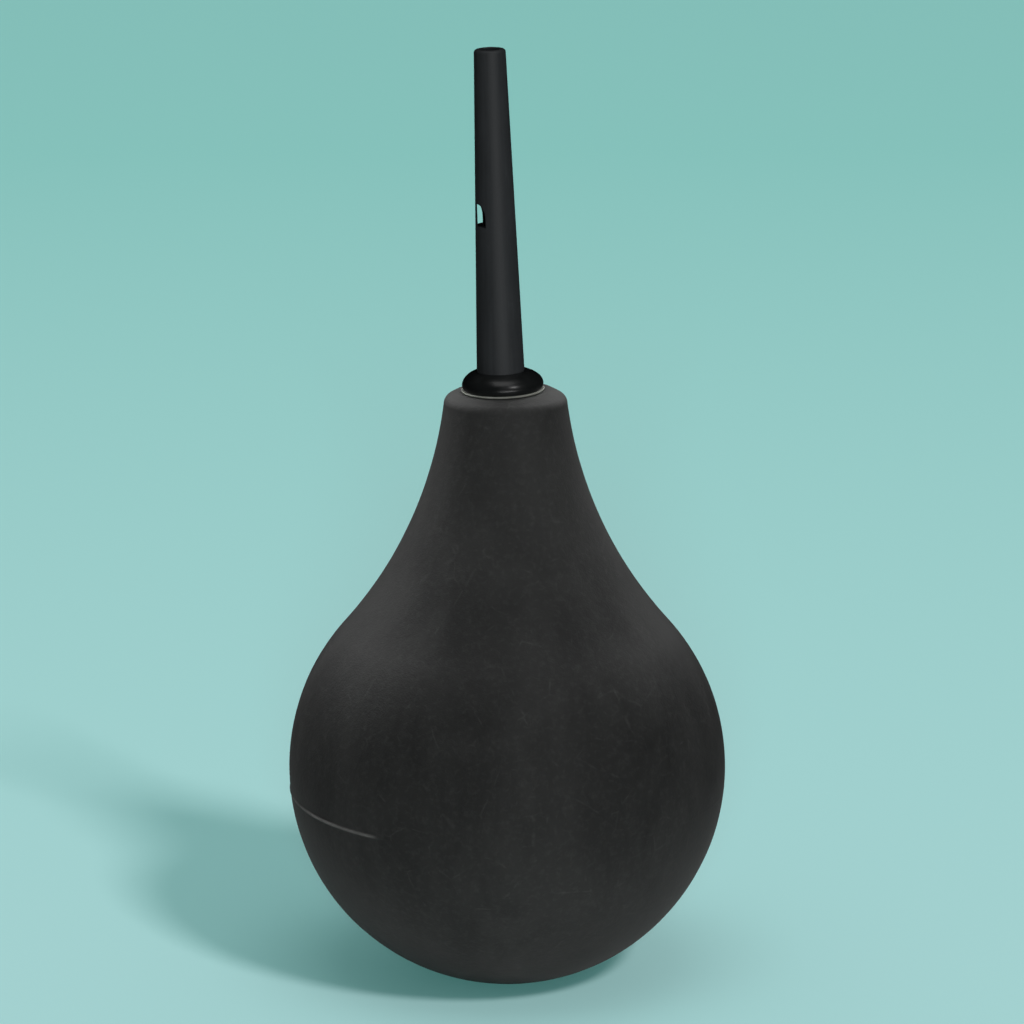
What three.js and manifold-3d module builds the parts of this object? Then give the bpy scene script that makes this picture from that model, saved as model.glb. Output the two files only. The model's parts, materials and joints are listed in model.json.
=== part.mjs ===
// Squeeze bulb with a push-in nozzle.
// A pear-shaped rubber bulb stands on a small flat foot. A domed plastic collar plugs its mouth
// over a pale sealing washer, and a long tapered tube with a side port turns in the collar.
// Millimetres, +Z up. The origin is the centre of the foot, on the surface the bulb stands on.
// The front of the object faces -Y.

import * as THREE from "three";
import { mergeVertices } from "three/addons/utils/BufferGeometryUtils.js";
import Module from "manifold-3d";

const wasm = await Module();
wasm.setup();

// ---------------------------------------------------------------- driving dimensions

const BULB_DIAMETER = 82;
const BULB_HEIGHT = 113; // from the foot to the underside of the collar's dome
const NOZZLE_LENGTH = 62.7; // from the underside of the dome to the tip

// Bulb outline: a ball, one hollow sweep up to the neck, a rounded shoulder and a sloping crown
const BALL_RADIUS = BULB_DIAMETER / 2;
const BALL_CENTRE_Z = 39.75; // less than the radius, so the ball is cut off flat at the foot
const FOOT_EDGE_RADIUS = 0.8;
const SWEEP_START = THREE.MathUtils.degToRad(41.2); // angle above the equator where the ball ends
const SWEEP_RADIUS = 81.1;
const SHOULDER_Z = 109.65; // where the sweep ends and the shoulder starts to turn in
const SHOULDER_RADIUS = 1.8;
const SHOULDER_TURN = THREE.MathUtils.degToRad(61.7);

// Mould parting line: a low bead round the belly
const SEAM_Z = 36.2;
const SEAM_HALF_WIDTH = 0.7;
const SEAM_PROUD = 0.3;

// Bulb inside
const WALL = 2.6;
const FLOOR_THICKNESS = 3.2; // the foot is thicker than the wall, which keeps the bulb standing
const SOCKET_BOTTOM_Z = 96.6; // the rubber is thick above this, round the plug
const ROOF_FILLET = 3;

// Collar, in the nozzle's own frame: its axis is Z, and z = 0 is the underside of the dome
const DOME_RADIUS = 7.55;
const DOME_EDGE = 0.3; // height of the dome's widest circle
const DOME_ROUND = new THREE.Vector2(4.9, 2.86); // half width and height of the elliptical dome
const DOME_CROWN_RADIUS = 4.75; // where the dome stops at the tube's seat
const STEM_RADIUS = 5.2;
const STEM_LENGTH = 15.2;
const STEM_CHAMFER = 0.5;
const RIB_RADIUS = 5.9;
const RIB_COUNT = 3;
const RIB_PITCH = 4.2;
const RIB_RISE = 1.9; // length of a rib's slope
const RIB_LAND = 0.5; // length of its flat crest
const TUBE_SEAT_Z = 1.4; // floor of the counterbore that the tube's shoulder sits in

// Nozzle tube, beside the collar's axis: its hole isn't quite in the middle of the collar
const TUBE_OFFSET_X = -0.3;
const TUBE_BASE_RADIUS = 4.45;
const TUBE_TIP_RADIUS = 2.92;
const TUBE_BASE_BORE = 2.7;
const TUBE_TIP_BORE = 1.9;
const TIP_EDGE_RADIUS = 0.6;
const SPIGOT_RADIUS = 3.8; // the part of the tube that turns inside the collar
const SNAP_BEAD_RADIUS = 4.5; // stops the tube pulling out of the collar
const SNAP_BEAD_LENGTH = 1.4;

// Side port: a slot straight through the tube's left side, wider at the front than at the back
const PORT_Z = 30.2; // its lower edge
const PORT_HEIGHT = 4.25;
const PORT_ARCH = 2.6; // height of its curved top
const PORT_OUTER_X = -3.3; // leaves a thin strip of wall outside it
const PORT_FRONT_WIDTH = 1.5;
const PORT_BACK_WIDTH = 0.95;

// Sealing washer
const WASHER_RADIUS = 7.6;
const WASHER_THICKNESS = 0.5;

// Fits
const GAP = 0.3; // between pieces that touch
const NOZZLE_LEAN = THREE.MathUtils.degToRad(1.65); // the soft neck lets the nozzle lean to the left
const LEAN_DEPTH = 17.6; // below the dome, where the leaning axis crosses the bulb's own axis

// Facets
const BULB_SEGMENTS = 52;
const FITTING_SEGMENTS = 36;
const RIGHT_ANGLE = Math.PI / 2;

// ---------------------------------------------------------------- helpers

/** A profile point: distance from the axis, and height. */
function at(r, z) {
  return new THREE.Vector2(r, z);
}

/** Points on an elliptical arc in the profile plane, both ends included. */
function ellipseArc(centre, halfWidth, halfHeight, fromAngle, toAngle, steps) {
  return Array.from({ length: steps + 1 }, (_, i) => {
    const angle = fromAngle + ((toAngle - fromAngle) * i) / steps;
    return at(centre.x + halfWidth * Math.cos(angle), centre.y + halfHeight * Math.sin(angle));
  });
}

/** Points on a round arc in the profile plane, both ends included. */
function arc(centre, radius, fromAngle, toAngle, steps) {
  return ellipseArc(centre, radius, radius, fromAngle, toAngle, steps);
}

/** Turns a profile about Z. The profile runs up the outside and comes down the inside. */
function turned(profile, segments) {
  return new THREE.LatheGeometry(profile, segments).rotateX(RIGHT_ANGLE);
}

/** A profile that doesn't meet the axis, closed on itself. */
function closed(profile) {
  return [...profile, profile[0].clone()];
}

/** Extrudes an XZ outline along Y, from yFrom to yTo. */
function extrudedAlongY(outline, yFrom, yTo) {
  const geometry = new THREE.ExtrudeGeometry(outline, { depth: yTo - yFrom, bevelEnabled: false });
  return geometry.rotateX(RIGHT_ANGLE).translate(0, yTo, 0);
}

function solidFrom(geometry) {
  const bare = geometry.clone();
  bare.deleteAttribute("normal");
  bare.deleteAttribute("uv");
  const merged = mergeVertices(bare, 1e-4);
  return new wasm.Manifold(
    new wasm.Mesh({
      numProp: 3,
      vertProperties: merged.attributes.position.array,
      triVerts: new Uint32Array(merged.index.array),
    }),
  );
}

function geometryFrom(solid) {
  const mesh = solid.getMesh();
  const geometry = new THREE.BufferGeometry();
  geometry.setAttribute("position", new THREE.BufferAttribute(mesh.vertProperties, 3));
  geometry.setIndex(new THREE.BufferAttribute(mesh.triVerts, 1));
  geometry.computeVertexNormals();
  return geometry;
}

function cut(geometry, ...cutters) {
  const start = solidFrom(geometry);
  return geometryFrom(cutters.reduce((solid, cutter) => solid.subtract(solidFrom(cutter)), start));
}

function piece(name, geometry, material) {
  const mesh = new THREE.Mesh(geometry, material);
  mesh.name = name;
  return mesh;
}

function plain(color, roughness) {
  return new THREE.MeshStandardMaterial({ color, roughness, metalness: 0 });
}

// ---------------------------------------------------------------- materials

const bulbRubber = plain(0x2c2e2d, 0.62);
const washerSilicone = plain(0x9a9c92, 0.5);
const collarPlastic = plain(0x131416, 0.28);
const nozzlePlastic = plain(0x232629, 0.42);

// ---------------------------------------------------------------- the nozzle's leaning frame

const nozzleFrame = new THREE.Matrix4()
  .makeTranslation(0, 0, BULB_HEIGHT - LEAN_DEPTH)
  .multiply(new THREE.Matrix4().makeRotationY(-NOZZLE_LEAN))
  .multiply(new THREE.Matrix4().makeTranslation(0, 0, LEAN_DEPTH));

// ---------------------------------------------------------------- bulb

const ballCentre = at(0, BALL_CENTRE_Z);

/** Centre of the hollow sweep, which touches the ball where the ball ends. */
const sweepCentre = at(
  (BALL_RADIUS + SWEEP_RADIUS) * Math.cos(SWEEP_START),
  BALL_CENTRE_Z + (BALL_RADIUS + SWEEP_RADIUS) * Math.sin(SWEEP_START),
);

/** Angle above the equator of a height on a ball about the bulb's centre. */
function ballAngle(z, radius) {
  return Math.asin((z - BALL_CENTRE_Z) / radius);
}

/** Points on the sweep, pushed into the wall by an offset, from the ball up to a height. */
function sweepUpTo(z, offset, steps) {
  const radius = SWEEP_RADIUS + offset;
  const end = Math.asin((sweepCentre.y - z) / radius);
  return arc(sweepCentre, radius, Math.PI + SWEEP_START, Math.PI + end, steps).slice(1);
}

/** The ball from the foot to the sweep, with the parting line's bead on it. */
function ballOutside() {
  const footAngle = ballAngle(FOOT_EDGE_RADIUS / 2, BALL_RADIUS);
  const seamLow = ballAngle(SEAM_Z - SEAM_HALF_WIDTH, BALL_RADIUS);
  const seamHigh = ballAngle(SEAM_Z + SEAM_HALF_WIDTH, BALL_RADIUS);
  const crestAngle = (seamLow + seamHigh) / 2;
  const crestRadius = BALL_RADIUS + SEAM_PROUD;
  return [
    ...arc(ballCentre, BALL_RADIUS, footAngle, seamLow, 11),
    at(crestRadius * Math.cos(crestAngle), BALL_CENTRE_Z + crestRadius * Math.sin(crestAngle)),
    ...arc(ballCentre, BALL_RADIUS, seamHigh, SWEEP_START, 8),
  ];
}

function bulbOutside() {
  const footRadius = Math.sqrt(BALL_RADIUS ** 2 - BALL_CENTRE_Z ** 2) - FOOT_EDGE_RADIUS;
  const sweep = sweepUpTo(SHOULDER_Z, 0, 9);
  const shoulderCentre = at(sweep.at(-1).x - SHOULDER_RADIUS, SHOULDER_Z);
  const shoulder = arc(shoulderCentre, SHOULDER_RADIUS, 0, SHOULDER_TURN, 5).slice(1);
  const crownFoot = shoulder.at(-1);
  const crownRise = (crownFoot.x - RIB_RADIUS) / Math.tan(SHOULDER_TURN);
  const crownTop = at(RIB_RADIUS, crownFoot.y + crownRise);
  return [at(0, 0), at(footRadius, 0), ...ballOutside(), ...sweep, ...shoulder, crownTop, at(0, crownTop.y)];
}

/** The air chamber, drawn up its outside: floor, ball, sweep and a flat roof under the socket. */
function bulbInside() {
  const radius = BALL_RADIUS - WALL;
  const ball = arc(ballCentre, radius, ballAngle(FLOOR_THICKNESS, radius), SWEEP_START, 14);
  const sweep = sweepUpTo(SOCKET_BOTTOM_Z - ROOF_FILLET, WALL, 6);
  const fillet = arc(
    at(sweep.at(-1).x - ROOF_FILLET, SOCKET_BOTTOM_Z - ROOF_FILLET),
    ROOF_FILLET,
    0,
    RIGHT_ANGLE,
    3,
  ).slice(1);
  return [at(0, FLOOR_THICKNESS), ...ball, ...sweep, ...fillet, at(0, SOCKET_BOTTOM_Z)];
}

/** Along the leaning axis: the plug's hole through the neck, and the flat that the washer sits on. */
function mouthCutter() {
  const holeRadius = RIB_RADIUS + GAP;
  const holeBottom = -STEM_LENGTH - 6;
  const seatZ = -WASHER_THICKNESS - 2 * GAP;
  const seatRadius = WASHER_RADIUS + 2;
  const clearAbove = 4;
  const outline = [
    at(0, holeBottom),
    at(holeRadius, holeBottom),
    at(holeRadius, seatZ),
    at(seatRadius, seatZ),
    at(seatRadius, clearAbove),
    at(0, clearAbove),
  ];
  return turned(outline, FITTING_SEGMENTS).applyMatrix4(nozzleFrame);
}

function makeBulb() {
  const body = turned(bulbOutside(), BULB_SEGMENTS);
  const chamber = turned(bulbInside(), BULB_SEGMENTS);
  return piece("bulb", cut(body, chamber, mouthCutter()), bulbRubber);
}

// ---------------------------------------------------------------- mouth washer

function makeMouthWasher() {
  const top = -GAP;
  const bottom = top - WASHER_THICKNESS;
  const bore = RIB_RADIUS + GAP;
  const outline = [at(bore, bottom), at(WASHER_RADIUS, bottom), at(WASHER_RADIUS, top), at(bore, top)];
  return piece("mouth_washer", turned(closed(outline), FITTING_SEGMENTS), washerSilicone);
}

// ---------------------------------------------------------------- collar

/** A rib is a barb: it slopes out going up and drops back square, so it holds against a pull. */
function ribOutline(topZ) {
  return [
    at(STEM_RADIUS, topZ - RIB_RISE),
    at(RIB_RADIUS, topZ - RIB_LAND),
    at(RIB_RADIUS, topZ),
    at(STEM_RADIUS, topZ),
  ];
}

/** The dome from its widest circle up to the tube's seat. */
function domeOutline() {
  const centre = at(DOME_RADIUS - DOME_ROUND.x, DOME_EDGE);
  const crownAngle = Math.acos((DOME_CROWN_RADIUS - centre.x) / DOME_ROUND.x);
  return ellipseArc(centre, DOME_ROUND.x, DOME_ROUND.y, 0, crownAngle, 8);
}

function makeCollar() {
  const ribTops = Array.from({ length: RIB_COUNT }, (_, i) => (i - RIB_COUNT) * RIB_PITCH);
  const dome = domeOutline();
  const outline = [
    at(0, -STEM_LENGTH),
    at(STEM_RADIUS - STEM_CHAMFER, -STEM_LENGTH),
    at(STEM_RADIUS, -STEM_LENGTH + STEM_CHAMFER),
    ...ribTops.flatMap(ribOutline),
    at(STEM_RADIUS, 0),
    at(DOME_RADIUS - DOME_EDGE, 0),
    ...dome,
    at(0, dome.at(-1).y),
  ];
  const socket = SPIGOT_RADIUS + GAP;
  const seat = TUBE_BASE_RADIUS + GAP / 2;
  const below = -STEM_LENGTH - 1;
  const above = dome.at(-1).y + 1;
  const bore = turned(
    [at(0, below), at(socket, below), at(socket, TUBE_SEAT_Z), at(seat, TUBE_SEAT_Z), at(seat, above), at(0, above)],
    FITTING_SEGMENTS,
  ).translate(TUBE_OFFSET_X, 0, 0);
  return piece("collar", cut(turned(outline, FITTING_SEGMENTS), bore), collarPlastic);
}

// ---------------------------------------------------------------- nozzle tube

/** The side port from the front: flat below, with an arched top that is highest at its outer edge. */
function portOutline(width) {
  const springZ = PORT_Z + PORT_HEIGHT - PORT_ARCH;
  const outline = new THREE.Shape();
  outline.moveTo(PORT_OUTER_X, PORT_Z);
  outline.lineTo(PORT_OUTER_X + width, PORT_Z);
  outline.lineTo(PORT_OUTER_X + width, springZ);
  outline.absellipse(PORT_OUTER_X, springZ, width, PORT_ARCH, 0, RIGHT_ANGLE, false);
  return outline;
}

function makeNozzleTube() {
  const seatZ = TUBE_SEAT_Z + GAP;
  const beadTop = -STEM_LENGTH - GAP;
  const beadBottom = beadTop - SNAP_BEAD_LENGTH;
  const beadLand = GAP;
  const tipCentre = at(TUBE_TIP_RADIUS - TIP_EDGE_RADIUS, NOZZLE_LENGTH - TIP_EDGE_RADIUS);
  const outline = [
    at(TUBE_BASE_BORE, beadBottom),
    at(SPIGOT_RADIUS - beadLand, beadBottom),
    at(SNAP_BEAD_RADIUS, beadTop - beadLand),
    at(SNAP_BEAD_RADIUS, beadTop),
    at(SPIGOT_RADIUS, beadTop),
    at(SPIGOT_RADIUS, seatZ),
    at(TUBE_BASE_RADIUS, seatZ),
    ...arc(tipCentre, TIP_EDGE_RADIUS, 0, RIGHT_ANGLE, 3),
    at(TUBE_TIP_BORE, NOZZLE_LENGTH),
  ];
  const tube = turned(closed(outline), FITTING_SEGMENTS);
  const frontPort = extrudedAlongY(portOutline(PORT_FRONT_WIDTH), -TUBE_BASE_RADIUS, 0);
  const backPort = extrudedAlongY(portOutline(PORT_BACK_WIDTH), -GAP, TUBE_BASE_RADIUS);
  return piece("nozzle_tube", cut(tube, frontPort, backPort), nozzlePlastic);
}

// ---------------------------------------------------------------- assembly

const nozzleTube = makeNozzleTube();
nozzleTube.position.x = TUBE_OFFSET_X;

const nozzleAssembly = new THREE.Group();
nozzleAssembly.applyMatrix4(nozzleFrame);
nozzleAssembly.add(makeMouthWasher(), makeCollar(), nozzleTube);

const squeezeBulb = new THREE.Group();
squeezeBulb.add(makeBulb(), nozzleAssembly);

export default squeezeBulb;
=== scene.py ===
# Squeeze bulb with a push-in nozzle: its finished surfaces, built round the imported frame.
# Metres, +Z up, front towards -Y. The origin is the centre of the bulb's flat foot.

import json
import math

import bmesh
import bpy
from mathutils import Matrix, Vector, noise


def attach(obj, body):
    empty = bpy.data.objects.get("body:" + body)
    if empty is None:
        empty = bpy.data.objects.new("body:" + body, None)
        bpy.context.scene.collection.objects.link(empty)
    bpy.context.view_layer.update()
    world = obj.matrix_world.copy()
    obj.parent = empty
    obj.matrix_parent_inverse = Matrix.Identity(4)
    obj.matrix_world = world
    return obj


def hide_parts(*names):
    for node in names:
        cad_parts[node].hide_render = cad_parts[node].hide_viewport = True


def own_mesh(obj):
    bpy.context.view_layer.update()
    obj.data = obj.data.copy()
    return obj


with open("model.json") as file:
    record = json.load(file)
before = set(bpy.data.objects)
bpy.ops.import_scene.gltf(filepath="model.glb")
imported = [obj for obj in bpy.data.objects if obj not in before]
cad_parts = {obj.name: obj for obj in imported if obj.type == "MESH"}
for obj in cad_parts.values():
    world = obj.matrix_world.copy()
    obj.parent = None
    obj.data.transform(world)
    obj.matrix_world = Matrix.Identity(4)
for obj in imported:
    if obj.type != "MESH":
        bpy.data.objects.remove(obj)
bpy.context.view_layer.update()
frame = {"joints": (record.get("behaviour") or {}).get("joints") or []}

# ------------------------------------------------------------------ sizes
# Sizes of the object are in millimetres, and every mesh is made in metres from them.

MM = 0.001

# Bulb: a ball, a hollow sweep up to the neck, a rounded shoulder and a sloping crown
BALL_RADIUS = 41.0
BALL_CENTRE_Z = 39.75
SWEEP_START = math.radians(41.2)
SWEEP_RADIUS = 81.1
SWEEP_CENTRE = (
    (BALL_RADIUS + SWEEP_RADIUS) * math.cos(SWEEP_START),
    BALL_CENTRE_Z + (BALL_RADIUS + SWEEP_RADIUS) * math.sin(SWEEP_START),
)
SHOULDER_Z = 109.65
SHOULDER_RADIUS = 1.8
SHOULDER_TURN = math.radians(61.7)
FOOT_RADIUS = 9.3
FOOT_TURN = math.radians(1.2)  # how far round from the foot's edge the ball's own rows start
WALL = 2.6
FLOOR_THICKNESS = 3.2
SOCKET_BOTTOM_Z = 96.6
SOCKET_RADIUS = 6.1
MOUTH_Z = 112.05  # the flat round the mouth, before it leans

# Unevenness of the moulding: its size across, and how far it moves the surface
LONG_WAVE = (26, 0.10)
SHORT_WAVE = (8, 0.035)
WAVES_START = (3, 14)  # heights between which it sets in above the foot
WAVES_END = (96, 106)  # and between which it dies away below the mouth

# Parting line: a low bead, proud on the left and trimmed nearly flush elsewhere
SEAM_Z = 36.2
SEAM_WIDTH = 0.26
SEAM_PROUD = 0.34
SEAM_TRIMMED = 0.02
SEAM_RISES = (150, 233)  # directions in degrees between which it rises to its proudest
SEAM_FALLS = (232, 236)  # and between which it falls away
SEAM_RAGGEDNESS = (26, 0.6)  # how often its height wavers round the ball, and by what share

# Collar and nozzle, in the nozzle's own leaning frame
DOME_RADIUS = 7.55
DOME_EDGE = 0.3
DOME_ROUND = (4.9, 2.86)
DOME_CROWN_RADIUS = 4.56
COLLAR_UNDERSIDE = -0.48
STEM_RADIUS = 5.2
STEM_LENGTH = 15.2
RIB_RADIUS = 5.9
RIB_COUNT = 3
RIB_PITCH = 4.2
RIB_RISE = 1.9  # length of a rib's slope
RIB_LAND = 0.5  # length of its flat crest
TUBE_SEAT_Z = 1.4
TUBE_OFFSET_X = -0.3
TUBE_BASE_RADIUS = 4.45
TUBE_TIP_RADIUS = 2.92
TUBE_BASE_BORE = 2.7
TUBE_TIP_BORE = 1.9
TIP_ROUND = 0.6
NOZZLE_LENGTH = 62.7
SPIGOT_RADIUS = 3.8
SNAP_BEAD_RADIUS = 4.5
SNAP_BEAD_LENGTH = 1.4
PORT_Z = 30.2
PORT_HEIGHT = 4.25
PORT_ARCH = 2.6
PORT_OUTER_X = -3.3
PORT_FRONT_WIDTH = 1.5
PORT_BACK_WIDTH = 0.95
PORT_RIM = 0.14
WASHER_RADIUS = 7.7
WASHER_BORE = 6.15
WASHER_TOP = -0.50
WASHER_BOTTOM = -0.86

# The nozzle turns about an axis that the frame gives, and the collar shares its lean
turn = next(j for j in frame["joints"] if j["name"] == "nozzle_turn")
LEAN = math.atan2(turn["axis"][0], turn["axis"][2])
lean_turn = Matrix.Rotation(LEAN, 4, "Y")
tube_frame = Matrix.Translation(Vector(turn["pos_m"])) @ lean_turn
collar_frame = tube_frame @ Matrix.Translation((-TUBE_OFFSET_X * MM, 0, 0))
LEAN_PIVOT_Z = 95.4  # where the leaning axis crosses the bulb's own
LEAN_RISE = 4  # height above the pivot at which the neck leans fully
LEAN_SPREAD = (8.2, 10.6)  # distances from the axis between which the neck stops leaning

# Sides of the turned pieces
BULB_SEGMENTS = 224
FITTING_SEGMENTS = 144
TUBE_SEGMENTS = 120


# ------------------------------------------------------------------ outlines
# An outline is a list of (radius, height) points, up the outside of a piece and down its inside.


def ellipse_arc(centre, half_width, half_height, start, end, steps):
    """Points on an elliptical arc, both ends included."""
    step = (end - start) / steps
    angles = [start + step * i for i in range(steps + 1)]
    return [(centre[0] + half_width * math.cos(a), centre[1] + half_height * math.sin(a)) for a in angles]


def arc(centre, radius, start, end, steps):
    return ellipse_arc(centre, radius, radius, start, end, steps)


def softened(points, reach, steps=4, closed=False):
    """The same outline with each corner rounded off, starting up to reach away from it."""
    count = len(points)
    out = []
    for i, corner in enumerate(points):
        if not closed and i in (0, count - 1):
            out.append(corner)
            continue
        here = Vector(corner)
        before = Vector(points[i - 1]) - here
        after = Vector(points[(i + 1) % count]) - here
        back = here + before * min(0.45, reach / max(before.length, 1e-9))
        ahead = here + after * min(0.45, reach / max(after.length, 1e-9))
        for k in range(steps + 1):
            t = k / steps
            out.append(tuple(back * (1 - t) ** 2 + here * 2 * t * (1 - t) + ahead * t ** 2))
    return out


def divided(points, longest):
    """The same outline with no stretch longer than longest."""
    out = [points[0]]
    for start, end in zip(points, points[1:]):
        count = max(1, math.ceil(math.dist(start, end) / longest))
        out += [tuple(Vector(start).lerp(Vector(end), (k + 1) / count)) for k in range(count)]
    return out


# ------------------------------------------------------------------ turned meshes


def object_from(bm, name):
    """An object in the scene, holding what was built in bm."""
    mesh = bpy.data.meshes.new(name)
    bm.to_mesh(mesh)
    bm.free()
    made = bpy.data.objects.new(name, mesh)
    bpy.context.scene.collection.objects.link(made)
    return made


def rings_of(outline, segments):
    """One ring of points for each outline point, in millimetres. A point on the axis is a ring of one."""
    rings = []
    for radius, height in outline:
        if radius < 1e-6:
            rings.append([Vector((0, 0, height))])
            continue
        angles = [2 * math.pi * k / segments for k in range(segments)]
        rings.append([Vector((radius * math.cos(a), radius * math.sin(a), height)) for a in angles])
    return rings


def skin(name, rings, closed=False, place=Matrix.Identity(4)):
    """A mesh over the rings. Its grain_mm attribute holds each point's own place, for the materials."""
    bm = bmesh.new()
    grain = bm.verts.layers.float_vector.new("grain_mm")
    made = []
    for ring in rings:
        verts = [bm.verts.new(place @ (point * MM)) for point in ring]
        for vert, point in zip(verts, ring):
            vert[grain] = point
        made.append(verts)
    pairs = list(zip(made, made[1:] + made[:1])) if closed else list(zip(made, made[1:]))
    for lower, upper in pairs:
        for k in range(max(len(lower), len(upper))):
            corners = []
            for ring, index in ((lower, k), (lower, k + 1), (upper, k + 1), (upper, k)):
                vert = ring[index % len(ring)]
                if vert not in corners:
                    corners.append(vert)
            bm.faces.new(corners)
    bmesh.ops.recalc_face_normals(bm, faces=bm.faces)
    piece = object_from(bm, name)
    piece.data.shade_smooth()
    return piece


def eased(value, low, high):
    """0 below low, 1 above high and smooth between them."""
    t = min(1.0, max(0.0, (value - low) / (high - low)))
    return t * t * (3 - 2 * t)


# ------------------------------------------------------------------ bulb


def ball_outline():
    """The ball from the foot to the sweep, with close rows across the parting line."""
    foot_angle = -math.acos(FOOT_RADIUS / BALL_RADIUS) + FOOT_TURN
    seam_angle = math.asin((SEAM_Z - BALL_CENTRE_Z) / BALL_RADIUS)
    reach = 4 * SEAM_WIDTH / BALL_RADIUS
    centre = (0, BALL_CENTRE_Z)
    below = arc(centre, BALL_RADIUS, foot_angle, seam_angle - reach, 44)
    across = arc(centre, BALL_RADIUS, seam_angle - reach, seam_angle + reach, 24)
    above = arc(centre, BALL_RADIUS, seam_angle + reach, SWEEP_START, 34)
    return below + across[1:] + above[1:]


def sweep_turn(height, radius):
    """The direction from the sweep's centre to the point of an arc about it at this height."""
    return math.pi + math.asin((SWEEP_CENTRE[1] - height) / radius)


def bulb_outside():
    """The ball, the sweep, the shoulder, the crown and the start of the mouth."""
    sweep_end = sweep_turn(SHOULDER_Z, SWEEP_RADIUS)
    sweep = arc(SWEEP_CENTRE, SWEEP_RADIUS, math.pi + SWEEP_START, sweep_end, 44)
    shoulder_centre = (sweep[-1][0] - SHOULDER_RADIUS, SHOULDER_Z)
    shoulder = arc(shoulder_centre, SHOULDER_RADIUS, 0, SHOULDER_TURN, 12)
    crown_run = (MOUTH_Z - shoulder[-1][1]) * math.tan(SHOULDER_TURN)
    crown = (shoulder[-1][0] - crown_run, MOUTH_Z)
    mouth = [shoulder[-1], crown, (SOCKET_RADIUS, MOUTH_Z), (SOCKET_RADIUS, MOUTH_Z - 2)]
    return ball_outline() + sweep[1:] + shoulder[1:-1] + divided(softened(mouth, 0.5), 0.6)


def bulb_inside():
    """The foot of the mouth's hole, the roof of the air chamber, its sweep, its ball and its floor."""
    inner = BALL_RADIUS - WALL
    radius = SWEEP_RADIUS + WALL
    sweep_top = sweep_turn(SOCKET_BOTTOM_Z - 3, radius)
    floor_angle = math.asin((FLOOR_THICKNESS - BALL_CENTRE_Z) / inner)
    sweep = arc(SWEEP_CENTRE, radius, sweep_top, math.pi + SWEEP_START, 14)
    ball = arc((0, BALL_CENTRE_Z), inner, SWEEP_START, floor_angle, 30)
    roof = [
        (SOCKET_RADIUS, SOCKET_BOTTOM_Z + 2),
        (SOCKET_RADIUS, SOCKET_BOTTOM_Z),
        (sweep[0][0] - 0.4, SOCKET_BOTTOM_Z),
        sweep[0],
    ]
    return softened(roof, 1.2)[:-1] + sweep + ball[1:] + [(0, FLOOR_THICKNESS)]


def seam_height(point):
    """How far the parting line stands proud, in a point's direction from the axis."""
    angle = math.atan2(point.y, point.x)
    turned = math.degrees(angle) % 360
    untrimmed = eased(turned, *SEAM_RISES) * (1 - eased(turned, *SEAM_FALLS))
    often, share = SEAM_RAGGEDNESS
    ragged = 1 + share * noise.noise(Vector((math.cos(angle), math.sin(angle), 0)) * often)
    return (SEAM_TRIMMED + (SEAM_PROUD - SEAM_TRIMMED) * untrimmed) * ragged


def on_seam(point):
    """1 along the crest of the parting line, falling to 0 beside it."""
    return math.exp(-(((point.z - SEAM_Z) / SEAM_WIDTH) ** 2))


def moulded(point):
    """A point on the outside of the bulb, moved by the moulding's own unevenness and its parting line."""
    radius = math.hypot(point.x, point.y)
    outward = Vector((point.x, point.y, 0)) / max(radius, 1e-9)
    waves = LONG_WAVE[1] * noise.noise(point / LONG_WAVE[0])
    waves += SHORT_WAVE[1] * noise.noise(point / SHORT_WAVE[0] + Vector((5, 1, 3)))
    fade = eased(point.z, *WAVES_START) * (1 - eased(point.z, *WAVES_END))
    return point + outward * (waves * fade + seam_height(point) * on_seam(point))


def leaned(point):
    """A point of the neck, moved with the plug that leans in its mouth."""
    radius = math.hypot(point.x, point.y)
    share = (1 - eased(radius, *LEAN_SPREAD)) * eased(point.z, LEAN_PIVOT_Z, LEAN_PIVOT_Z + LEAN_RISE)
    pivot = Vector((0, 0, LEAN_PIVOT_Z))
    return point.lerp(lean_turn @ (point - pivot) + pivot, share)


def make_bulb():
    """One closed skin, outside and inside."""
    foot = softened([(0, 0), (FOOT_RADIUS, 0), ball_outline()[1]], 0.7)
    foot = divided(foot[:-1], 1.6)
    outside = rings_of(foot + bulb_outside()[1:], BULB_SEGMENTS)
    outside = [[leaned(moulded(point)) for point in ring] for ring in outside]
    inside = [[leaned(point) for point in ring] for ring in rings_of(bulb_inside(), BULB_SEGMENTS)]
    piece = skin("bulb_skin", outside + inside)
    # This attribute marks where the parting line stands proudest, where the rubber is painted lighter as a
    # painted glint.
    glinted = piece.data.attributes.new("painted_seam_glint", "FLOAT", "POINT")
    points = [point for ring in outside + inside for point in ring]
    glinted.data.foreach_set("value", [eased(seam_height(p), 0.05, SEAM_PROUD) * on_seam(p) for p in points])
    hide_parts("bulb")
    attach(piece, "bulb")
    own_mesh(piece)
    return piece


# ------------------------------------------------------------------ washer, collar and nozzle


def make_washer():
    corners = [
        (WASHER_BORE, WASHER_BOTTOM),
        (WASHER_RADIUS, WASHER_BOTTOM),
        (WASHER_RADIUS, WASHER_TOP),
        (WASHER_BORE, WASHER_TOP),
    ]
    rings = rings_of(softened(corners, 0.2, closed=True), FITTING_SEGMENTS)
    piece = skin("washer_ring", rings, True, collar_frame)
    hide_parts("mouth_washer")
    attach(piece, "mouth_seat")
    return piece


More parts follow.
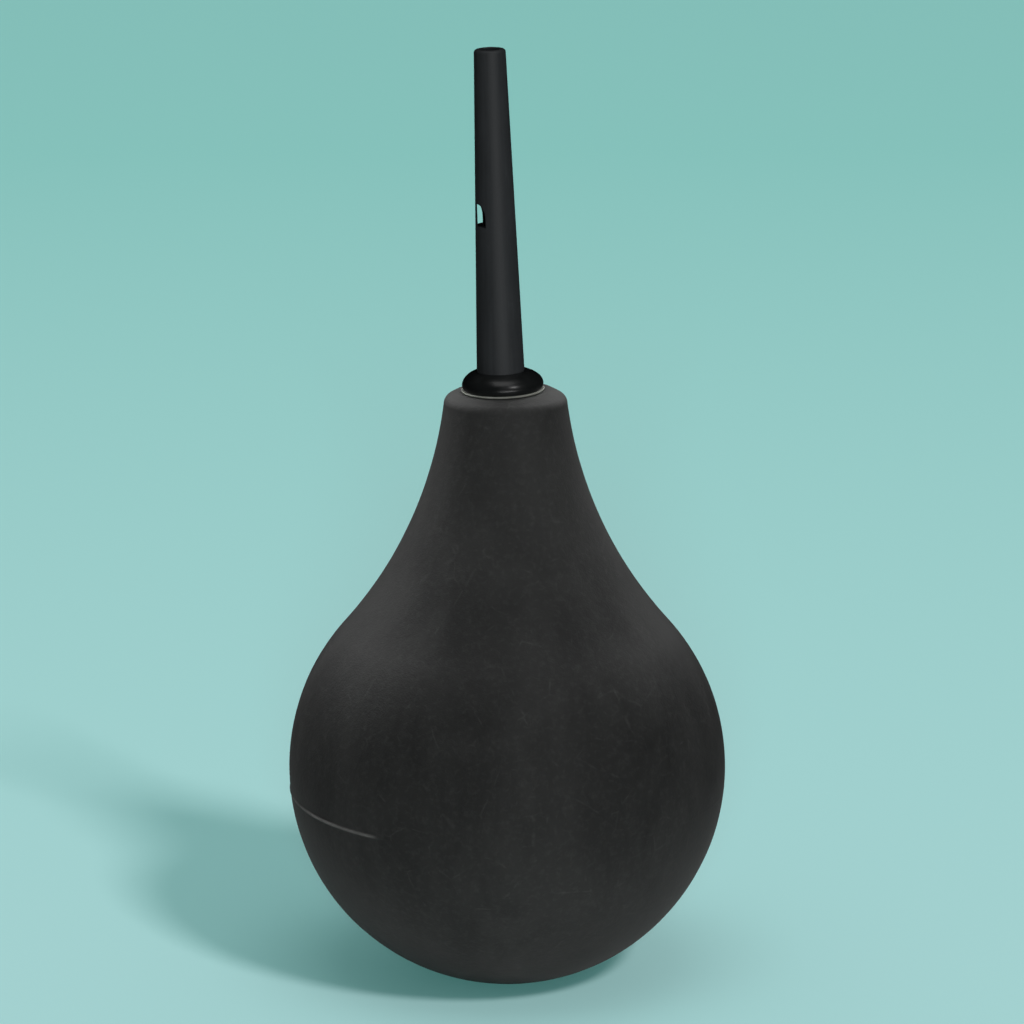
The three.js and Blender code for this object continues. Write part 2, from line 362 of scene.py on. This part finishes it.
def collar_outside():
    """The stem with its ribs, then the dome up to the tube."""
    stem = [(STEM_RADIUS - 0.5, -STEM_LENGTH), (STEM_RADIUS, 0.5 - STEM_LENGTH)]
    for i in range(RIB_COUNT):
        top = (i - RIB_COUNT) * RIB_PITCH
        stem += [
            (STEM_RADIUS, top - RIB_RISE),
            (RIB_RADIUS, top - RIB_LAND),
            (RIB_RADIUS, top),
            (STEM_RADIUS, top),
        ]
    stem += [
        (STEM_RADIUS, COLLAR_UNDERSIDE),
        (DOME_RADIUS - 0.15, COLLAR_UNDERSIDE),
        (DOME_RADIUS, DOME_EDGE),
    ]
    centre = (DOME_RADIUS - DOME_ROUND[0], DOME_EDGE)
    crown_angle = math.acos((DOME_CROWN_RADIUS - centre[0]) / DOME_ROUND[0])
    dome = ellipse_arc(centre, DOME_ROUND[0], DOME_ROUND[1], 0, crown_angle, 28)
    return softened(stem, 0.18, 3)[:-1] + dome


def collar_bore():
    """The seat that the tube's shoulder sits in, then the hole that its spigot turns in."""
    seat = TUBE_BASE_RADIUS + 0.02
    socket = SPIGOT_RADIUS + 0.15
    corners = [
        (seat, collar_outside()[-1][1] - 0.12),
        (seat, TUBE_SEAT_Z),
        (socket, TUBE_SEAT_Z),
        (socket, -STEM_LENGTH),
        (STEM_RADIUS - 0.8, -STEM_LENGTH),
    ]
    return softened(corners, 0.08, 2)


def make_collar():
    """The dome's rings drift sideways up to the tube, whose hole isn't in the middle of the collar."""
    outside = rings_of(collar_outside(), FITTING_SEGMENTS)
    for ring in outside:
        radius = ring[0].x
        on_dome = ring[0].z > DOME_EDGE
        share = eased(DOME_RADIUS - radius, 0, DOME_RADIUS - DOME_CROWN_RADIUS) if on_dome else 0
        for point in ring:
            point.x += TUBE_OFFSET_X * share
    bore = rings_of(collar_bore(), FITTING_SEGMENTS)
    for ring in bore:
        for point in ring:
            point.x += TUBE_OFFSET_X
    piece = skin("collar_plug", outside + bore, True, collar_frame)
    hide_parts("collar")
    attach(piece, "collar")
    return piece


def tube_outline():
    """The tube with its bore, its rounded tip, and the spigot and snap bead below its shoulder."""
    bead_top = -STEM_LENGTH - 0.3
    bead_bottom = bead_top - SNAP_BEAD_LENGTH
    corners = [
        (TUBE_BASE_BORE, bead_bottom),
        (SPIGOT_RADIUS - 0.3, bead_bottom),
        (SNAP_BEAD_RADIUS, bead_top - 0.3),
        (SNAP_BEAD_RADIUS, bead_top),
        (SPIGOT_RADIUS, bead_top),
        (SPIGOT_RADIUS, TUBE_SEAT_Z + 0.1),
        (TUBE_BASE_RADIUS, TUBE_SEAT_Z + 0.1),
    ]
    tip_centre = (TUBE_TIP_RADIUS - TIP_ROUND, NOZZLE_LENGTH - TIP_ROUND)
    corners += arc(tip_centre, TIP_ROUND, 0, math.pi / 2, 8) + [(TUBE_TIP_BORE, NOZZLE_LENGTH)]
    outline = softened(corners, 0.2, 4, closed=True)
    return divided(outline + outline[:1], 0.7)[:-1]


def port_cutter(name, width, front, back):
    """A block with the port's outline, from front to back along Y, in the tube's own frame."""
    spring = PORT_Z + PORT_HEIGHT - PORT_ARCH
    arch = ellipse_arc((PORT_OUTER_X, spring), width, PORT_ARCH, 0, math.pi / 2, 10)
    outline = [(PORT_OUTER_X, PORT_Z), (PORT_OUTER_X + width, PORT_Z)] + arch
    bm = bmesh.new()
    face = bm.faces.new([bm.verts.new((x * MM, front * MM, z * MM)) for x, z in outline])
    made = bmesh.ops.extrude_face_region(bm, geom=[face])["geom"]
    moved = [v for v in made if isinstance(v, bmesh.types.BMVert)]
    bmesh.ops.translate(bm, verts=moved, vec=(0, (back - front) * MM, 0))
    bmesh.ops.recalc_face_normals(bm, faces=bm.faces)
    return object_from(bm, name)


def make_nozzle():
    """The tube, with its port cut by one block from the front and a narrower one from the back."""
    piece = skin("nozzle_body", rings_of(tube_outline(), TUBE_SEGMENTS), True)
    cutters = [
        port_cutter("front_port", PORT_FRONT_WIDTH, -6, 0),
        port_cutter("back_port", PORT_BACK_WIDTH, -0.4, 6),
    ]
    for cutter in cutters:
        cut = piece.modifiers.new(cutter.name, "BOOLEAN")
        cut.object = cutter
        cut.operation = "DIFFERENCE"
        cut.solver = "EXACT"
    rim = piece.modifiers.new("port_rim", "BEVEL")
    rim.limit_method = "ANGLE"
    rim.angle_limit = math.radians(40)
    rim.width = PORT_RIM * MM
    rim.segments = 3
    bpy.context.view_layer.update()
    depsgraph = bpy.context.evaluated_depsgraph_get()
    finished = bpy.data.meshes.new_from_object(piece.evaluated_get(depsgraph))
    piece.modifiers.clear()
    piece.data = finished
    for cutter in cutters:
        bpy.data.objects.remove(cutter)
    finished.transform(tube_frame)
    finished.shade_smooth()
    finished.set_sharp_from_angle(angle=math.radians(50))
    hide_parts("nozzle_tube")
    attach(piece, "nozzle")
    return piece


# ------------------------------------------------------------------ surface effects shared by the materials


def new_group(name, inputs, outputs):
    """An empty shader group with number inputs (name, default), and outputs (name, socket type)."""
    group = bpy.data.node_groups.new(name, "ShaderNodeTree")
    for label, default in inputs:
        socket = group.interface.new_socket(label, in_out="INPUT", socket_type="NodeSocketFloat")
        socket.default_value = default
    for label, kind in outputs:
        group.interface.new_socket(label, in_out="OUTPUT", socket_type=kind)
    return group, group.nodes.new("NodeGroupInput"), group.nodes.new("NodeGroupOutput")


def add(tree, kind, links=(), **values):
    """A node with its sockets set by name from values, or joined by (input, output socket) pairs."""
    node = tree.nodes.new(kind)
    for label, value in values.items():
        if hasattr(node, label):
            setattr(node, label, value)
        else:
            node.inputs[label.replace("_", " ")].default_value = value
    for target, source in links:
        tree.links.new(node.inputs[target], source)
    return node


def own_place(tree):
    """Each point's place on the piece itself, in millimetres, which stays with it when the piece moves."""
    return add(tree, "ShaderNodeAttribute", attribute_name="grain_mm").outputs["Vector"]


def ramp(tree, value, start, end, low=0.0, high=1.0, kind="SMOOTHSTEP"):
    """low where value is at or below start, and high where it is at or above end."""
    node = add(tree, "ShaderNodeMapRange", [("Value", value)], interpolation_type=kind)
    node.inputs["From Min"].default_value = start
    node.inputs["From Max"].default_value = end
    node.inputs["To Min"].default_value = low
    node.inputs["To Max"].default_value = high
    return node.outputs["Result"]


def times(tree, first, second):
    """first times second, which is a socket or a number."""
    node = add(tree, "ShaderNodeMath", [(0, first)], operation="MULTIPLY")
    if isinstance(second, (int, float)):
        node.inputs[1].default_value = second
    else:
        tree.links.new(node.inputs[1], second)
    return node.outputs[0]


def fineness(tree, size):
    """A texture's scale for features of this size in millimetres."""
    node = add(tree, "ShaderNodeMath", [(1, size)], operation="DIVIDE")
    node.inputs[0].default_value = 1.0
    return node.outputs[0]


def grain_group():
    """Fine moulded grain: a height for a bump."""
    inputs = [("Size", 0.5), ("Fine Share", 0.4)]
    group, start, end = new_group("moulded_grain", inputs, [("Height", "NodeSocketFloat")])
    place = own_place(group)
    scale = fineness(group, start.outputs["Size"])
    lumps = [("Vector", place), ("Scale", scale)]
    coarse = add(group, "ShaderNodeTexNoise", lumps, Detail=3.0, Roughness=0.6)
    pits = [("Vector", place), ("Scale", times(group, scale, 3.1))]
    cells = add(group, "ShaderNodeTexVoronoi", pits, feature="SMOOTH_F1")
    shares = [
        ("Factor", start.outputs["Fine Share"]),
        (2, coarse.outputs["Fac"]),
        (3, cells.outputs["Distance"]),
    ]
    mixed = add(group, "ShaderNodeMix", shares, data_type="FLOAT")
    group.links.new(end.inputs["Height"], mixed.outputs[0])
    return group


def cloud_group():
    """Soft uneven patches, drawn out along the piece's axis: a mask from 0 to 1."""
    inputs = [("Size", 12.0), ("Stretch", 2.0), ("Low", 0.35), ("High", 0.65)]
    group, start, end = new_group("soft_clouds", inputs, [("Mask", "NodeSocketFloat")])
    ways = add(group, "ShaderNodeSeparateXYZ", [(0, own_place(group))])
    along = [(0, ways.outputs["Z"]), (1, start.outputs["Stretch"])]
    squat = add(group, "ShaderNodeMath", along, operation="DIVIDE")
    ends = [(0, ways.outputs["X"]), (1, ways.outputs["Y"]), (2, squat.outputs[0])]
    joined = add(group, "ShaderNodeCombineXYZ", ends)
    patches = [("Vector", joined.outputs[0]), ("Scale", fineness(group, start.outputs["Size"]))]
    clouds = add(group, "ShaderNodeTexNoise", patches, Detail=5.0, Roughness=0.62, Distortion=0.4)
    limits = [
        ("Value", clouds.outputs["Fac"]),
        ("From Min", start.outputs["Low"]),
        ("From Max", start.outputs["High"]),
    ]
    shaped = add(group, "ShaderNodeMapRange", limits, interpolation_type="SMOOTHSTEP")
    group.links.new(end.inputs["Mask"], shaped.outputs["Result"])
    return group


def scuff_group():
    """Fine short scratches in all directions: a mask from 0 to 1."""
    inputs = [("Size", 3.0), ("Amount", 0.3)]
    group, start, end = new_group("hairline_scuffs", inputs, [("Mask", "NodeSocketFloat")])
    place = own_place(group)
    scale = fineness(group, start.outputs["Size"])
    bend = add(group, "ShaderNodeTexNoise", [("Vector", place), ("Scale", scale)], Detail=2.0)
    wander = add(group, "ShaderNodeVectorMath", [(0, bend.outputs["Color"])], operation="SCALE")
    wander.inputs["Scale"].default_value = 2.2
    moved = add(group, "ShaderNodeVectorMath", [(0, place), (1, wander.outputs[0])], operation="ADD")
    net = [("Vector", moved.outputs[0]), ("Scale", scale)]
    lines = add(group, "ShaderNodeTexVoronoi", net, feature="DISTANCE_TO_EDGE")
    thin = ramp(group, lines.outputs["Distance"], 0.0, 0.03, 1.0, 0.0)
    sparse = add(group, "ShaderNodeTexNoise", [("Vector", place)], Scale=0.35, Detail=3.0)
    where = ramp(group, sparse.outputs["Fac"], 0.48, 0.7)
    kept = times(group, times(group, thin, where), start.outputs["Amount"])
    group.links.new(end.inputs["Mask"], kept)
    return group


GRAIN = grain_group()
CLOUDS = cloud_group()
SCUFFS = scuff_group()


def use(tree, group, **values):
    """A shared effect placed in a material, with its own values."""
    node = tree.nodes.new("ShaderNodeGroup")
    node.node_tree = group
    for label, value in values.items():
        node.inputs[label.replace("_", " ")].default_value = value
    return node


def material(name, **fixed):
    """A new material and its main shader, whose uniform values are set straight on it."""
    made = bpy.data.materials.new(name)
    made.use_nodes = True
    shader = made.node_tree.nodes["Principled BSDF"]
    for label, value in fixed.items():
        shader.inputs[label.replace("_", " ")].default_value = value
    return made, made.node_tree, shader


def colour_between(tree, mask, low, high):
    mixed = add(tree, "ShaderNodeMix", [("Factor", mask)], data_type="RGBA")
    mixed.inputs[6].default_value = (*low, 1)
    mixed.inputs[7].default_value = (*high, 1)
    return mixed.outputs[2]


def number_between(tree, mask, low, high):
    return ramp(tree, mask, 0.0, 1.0, low, high, "LINEAR")


def bumped(tree, height, strength, depth_mm, onto=None):
    """A normal from this height, on top of another bump's normal where one is given."""
    bump = add(tree, "ShaderNodeBump", [("Height", height)], Strength=strength, Distance=depth_mm * MM)
    if onto is not None:
        tree.links.new(bump.inputs["Normal"], onto)
    return bump.outputs["Normal"]


def total(tree, *masks):
    """The sum of some masks, held at 1."""
    summed = masks[0]
    for mask in masks[1:]:
        both = [(0, summed), (1, mask)]
        summed = add(tree, "ShaderNodeMath", both, operation="ADD", use_clamp=True).outputs[0]
    return summed


# ------------------------------------------------------------------ materials
# A material's values run between two ends, chosen by its marks: bloom, smudges or scuffs. The rubber's
# parting line is also coloured lighter where it stands proud, a painted glint.

NECK_LIGHTER_Z = (60, 98)  # heights between which the rubber's colour grows lighter towards the neck
# Light grey painted on the proud stretch of the parting line: a painted glint, not the rubber's own colour.
PAINTED_SEAM_GLINT_COLOUR = (0.14, 0.14, 0.135, 1)
PAPER_FADES_Y = (0, 900)  # how far back the paper goes from its near colour to its far one
PAPER_THROWS_WITHIN = (60, 210)  # distances from the foot between which its thrown light dies away


def bulb_rubber():
    """Black moulded rubber with a cloudy bloom, its colour lighter towards the neck."""
    made, tree, shader = material("bulb_rubber", Specular_IOR_Level=0.22)
    shader.distribution = "GGX"
    clouds = use(tree, CLOUDS, Size=14.0, Stretch=2.6, Low=0.3, High=0.7).outputs[0]
    specks = use(tree, CLOUDS, Size=1.1, Stretch=1.0, Low=0.45, High=0.75).outputs[0]
    scuffs = use(tree, SCUFFS, Size=9.0, Amount=0.35).outputs[0]
    height = add(tree, "ShaderNodeSeparateXYZ", [(0, own_place(tree))]).outputs["Z"]
    haze = total(
        tree,
        number_between(tree, clouds, 0.0, 0.4),
        number_between(tree, specks, 0.0, 0.28),
        # The rubber's colour is made lighter towards the neck.
        ramp(tree, height, *NECK_LIGHTER_Z, 0.0, 0.36),
        scuffs,
    )
    bloomed = colour_between(tree, haze, (0.0185, 0.0190, 0.0187), (0.056, 0.0565, 0.0552))
    # Painted glint: the parting line's proudest stretch is coloured light grey.
    painted_seam_glint = add(tree, "ShaderNodeAttribute", attribute_name="painted_seam_glint").outputs["Fac"]
    glinted = add(tree, "ShaderNodeMix", [("Factor", painted_seam_glint), (6, bloomed)], data_type="RGBA")
    glinted.inputs[7].default_value = PAINTED_SEAM_GLINT_COLOUR
    tree.links.new(shader.inputs["Base Color"], glinted.outputs[2])
    tree.links.new(shader.inputs["Roughness"], number_between(tree, haze, 0.62, 0.76))
    grain = use(tree, GRAIN, Size=0.9, Fine_Share=0.35).outputs[0]
    tree.links.new(shader.inputs["Normal"], bumped(tree, grain, 0.7, 0.09))
    return made


def washer_silicone():
    """Pale grey silicone, unevenly clouded."""
    made, tree, shader = material("washer_silicone", Specular_IOR_Level=0.45)
    clouds = use(tree, CLOUDS, Size=2.5, Stretch=1.0, Low=0.3, High=0.7).outputs[0]
    colour = colour_between(tree, clouds, (0.20, 0.21, 0.185), (0.30, 0.31, 0.275))
    tree.links.new(shader.inputs["Base Color"], colour)
    tree.links.new(shader.inputs["Roughness"], number_between(tree, clouds, 0.42, 0.58))
    grain = use(tree, GRAIN, Size=0.25, Fine_Share=0.3).outputs[0]
    tree.links.new(shader.inputs["Normal"], bumped(tree, grain, 0.3, 0.02))
    return made


def collar_plastic():
    """Glossy black plastic with faint smudges and hairlines."""
    made, tree, shader = material("collar_plastic", Specular_IOR_Level=0.5)
    smudges = use(tree, CLOUDS, Size=3.0, Stretch=1.0, Low=0.4, High=0.7).outputs[0]
    scuffs = use(tree, SCUFFS, Size=2.0, Amount=0.5).outputs[0]
    marks = total(tree, number_between(tree, smudges, 0.0, 0.5), scuffs)
    colour = colour_between(tree, marks, (0.0095, 0.0108, 0.0110), (0.0150, 0.0165, 0.0168))
    tree.links.new(shader.inputs["Base Color"], colour)
    tree.links.new(shader.inputs["Roughness"], number_between(tree, marks, 0.28, 0.42))
    grain = use(tree, GRAIN, Size=0.9, Fine_Share=0.1).outputs[0]
    tree.links.new(shader.inputs["Normal"], bumped(tree, grain, 0.12, 0.02))
    return made


def nozzle_plastic():
    """Satin black plastic with a slight blue cast and faint draw marks along its length."""
    made, tree, shader = material("nozzle_plastic", Specular_IOR_Level=0.38)
    draw = use(tree, CLOUDS, Size=0.5, Stretch=40.0, Low=0.35, High=0.7).outputs[0]
    clouds = use(tree, CLOUDS, Size=5.0, Stretch=3.0, Low=0.35, High=0.7).outputs[0]
    scuffs = use(tree, SCUFFS, Size=3.0, Amount=0.4).outputs[0]
    marks = total(
        tree,
        number_between(tree, draw, 0.0, 0.4),
        number_between(tree, clouds, 0.0, 0.4),
        scuffs,
    )
    colour = colour_between(tree, marks, (0.031, 0.0345, 0.0375), (0.046, 0.0510, 0.055))
    tree.links.new(shader.inputs["Base Color"], colour)
    tree.links.new(shader.inputs["Roughness"], number_between(tree, marks, 0.50, 0.63))
    grain = use(tree, GRAIN, Size=0.35, Fine_Share=0.3).outputs[0]
    tree.links.new(shader.inputs["Normal"], bumped(tree, grain, 0.25, 0.02, bumped(tree, draw, 0.2, 0.02)))
    return made


def stage_paper():
    """Pale paper, lighter towards the front.

    Only the camera sees this colour. The light that the paper throws is grey, and comes from near the object.
    """
    made, tree, shader = material("stage_paper", Specular_IOR_Level=0.1, Roughness=0.9)
    ways = add(tree, "ShaderNodeSeparateXYZ", [(0, own_place(tree))])
    depth = ramp(tree, ways.outputs["Y"], *PAPER_FADES_Y, kind="LINEAR")
    pale = colour_between(tree, depth, (0.52, 0.89, 0.88), (0.361, 0.812, 0.7525))
    distance = add(tree, "ShaderNodeVectorMath", [(0, own_place(tree))], operation="LENGTH")
    away = ramp(tree, distance.outputs["Value"], *PAPER_THROWS_WITHIN)
    thrown = colour_between(tree, away, (0.80, 0.85, 0.84), (0.03, 0.03, 0.03))
    camera_ray = add(tree, "ShaderNodeLightPath").outputs["Is Camera Ray"]
    seen = add(tree, "ShaderNodeMix", [("Factor", camera_ray), (6, thrown), (7, pale)], data_type="RGBA")
    tree.links.new(shader.inputs["Base Color"], seen.outputs[2])
    return made


# ------------------------------------------------------------------ stage, lights and camera
# Places and sizes are in metres and angles in degrees.

FLOOR_REACH = 3.0
LIGHTS_AIM = Vector((0, 0, 0.1))
RIM_DISTANCE = 0.32
RIM_SIZE = (0.16, 0.16)
KEY_FROM = (36, 42)  # azimuth and elevation

CAMERA_PLACE = (0.0011, -0.900, 0.3133)
CAMERA_PITCH = math.radians(14.0)
CAMERA_ROLL = math.radians(-0.24)
CAMERA_LENS = 175.4


def make_floor():
    """A plain flat floor that fills every view."""
    bm = bmesh.new()
    grain = bm.verts.layers.float_vector.new("grain_mm")
    corners = []
    for x, y in ((-1, -1), (1, -1), (1, 1), (-1, 1)):
        corner = bm.verts.new((x * FLOOR_REACH, y * FLOOR_REACH, 0))
        corner[grain] = corner.co / MM
        corners.append(corner)
    bm.faces.new(corners)
    floor = object_from(bm, "floor")
    return floor


def area_light(name, place, size, watts):
    data = bpy.data.lights.new(name, "AREA")
    data.shape = "RECTANGLE"
    data.size, data.size_y = size
    data.energy = watts
    light = bpy.data.objects.new(name, data)
    light.location = place
    light.rotation_euler = (LIGHTS_AIM - place).to_track_quat("-Z", "Y").to_euler()
    light.visible_camera = False
    bpy.context.scene.collection.objects.link(light)
    return light


def direction(azimuth, elevation, distance=1.0):
    """A step of this length from the object. Azimuth 0 is towards its front and 90 to its right."""
    a = math.radians(azimuth)
    e = math.radians(elevation)
    return distance * Vector((math.sin(a) * math.cos(e), -math.cos(a) * math.cos(e), math.sin(e)))


def sun_light(name, azimuth, elevation, strength, width, colour=(1.0, 1.0, 1.0)):
    data = bpy.data.lights.new(name, "SUN")
    data.energy = strength
    data.angle = math.radians(width)
    data.color = colour
    light = bpy.data.objects.new(name, data)
    light.rotation_euler = direction(azimuth, elevation).to_track_quat("Z", "Y").to_euler()
    bpy.context.scene.collection.objects.link(light)
    return light


def light_list(name, objects, state):
    """A list of what a light falls on: INCLUDE for these objects alone, EXCLUDE for all but them."""
    linked = bpy.data.collections.new(name)
    for i, obj in enumerate(objects):
        linked.objects.link(obj)
        linked.collection_objects[i].light_linking.link_state = state
    return linked


def make_lights(floor, plastic_pieces):
    """A key from the front right, three small rims, a box overhead and a low box in front.

    The rims fall on the soft pieces alone, the low box falls on everything but the floor, and the floor
    has two suns of its own.
    """
    floor_only = light_list("floor_only", [floor], "INCLUDE")
    all_but_floor = light_list("all_but_floor", [floor], "EXCLUDE")
    soft_pieces = light_list("soft_pieces", [floor, *plastic_pieces], "EXCLUDE")
    sun_light("key", *KEY_FROM, 0.44, 9)
    floor_key = sun_light("floor_key", *KEY_FROM, 1.01, 9, (1.0, 0.715, 0.75))
    floor_front = sun_light("floor_front", 0, 15, 1.79, 12, (0.55, 1.0, 0.945))
    for sun in (floor_key, floor_front):
        sun.light_linking.receiver_collection = floor_only
    for name, azimuth, elevation, watts in (
        ("left_rim", -123, 32, 0.55),
        ("right_rim", 140, 28, 0.35),
        ("back_top", 180, 62, 0.66),
    ):
        place = LIGHTS_AIM + direction(azimuth, elevation, RIM_DISTANCE)
        rim = area_light(name, place, RIM_SIZE, watts)
        rim.light_linking.receiver_collection = soft_pieces
    area_light("overhead", LIGHTS_AIM + direction(0, 80, 1.4), (0.9, 0.9), 3.0)
    low_front = area_light("low_front", Vector((0.36, -1.28, 0.08)), (1.0, 0.12), 3.6)
    low_front.light_linking.receiver_collection = all_but_floor


def make_world():
    """An even pale light all round, which doesn't show as a reflection."""
    world = bpy.data.worlds.new("studio")
    bpy.context.scene.world = world
    world.use_nodes = True
    background = world.node_tree.nodes["Background"]
    background.inputs["Color"].default_value = (0.95, 1.0, 1.0, 1)
    background.inputs["Strength"].default_value = 0.22
    world.cycles_visibility.glossy = False
    bpy.context.scene.view_settings.view_transform = "Standard"


def make_camera():
    """A long lens, a little above the object, so that its outline is nearly a side view."""
    data = bpy.data.cameras.new("camera")
    data.sensor_width = 36.0
    data.lens = CAMERA_LENS
    data.clip_end = 20
    camera = bpy.data.objects.new("camera", data)
    look = Matrix.Rotation(math.pi / 2 - CAMERA_PITCH, 4, "X") @ Matrix.Rotation(CAMERA_ROLL, 4, "Z")
    camera.matrix_world = Matrix.Translation(CAMERA_PLACE) @ look
    bpy.context.scene.collection.objects.link(camera)
    bpy.context.scene.camera = camera


# ------------------------------------------------------------------ assembly

make_camera()
make_bulb().data.materials.append(bulb_rubber())
make_washer().data.materials.append(washer_silicone())
collar = make_collar()
collar.data.materials.append(collar_plastic())
nozzle = make_nozzle()
nozzle.data.materials.append(nozzle_plastic())
floor = make_floor()
floor.data.materials.append(stage_paper())
make_lights(floor, [collar, nozzle])
make_world()
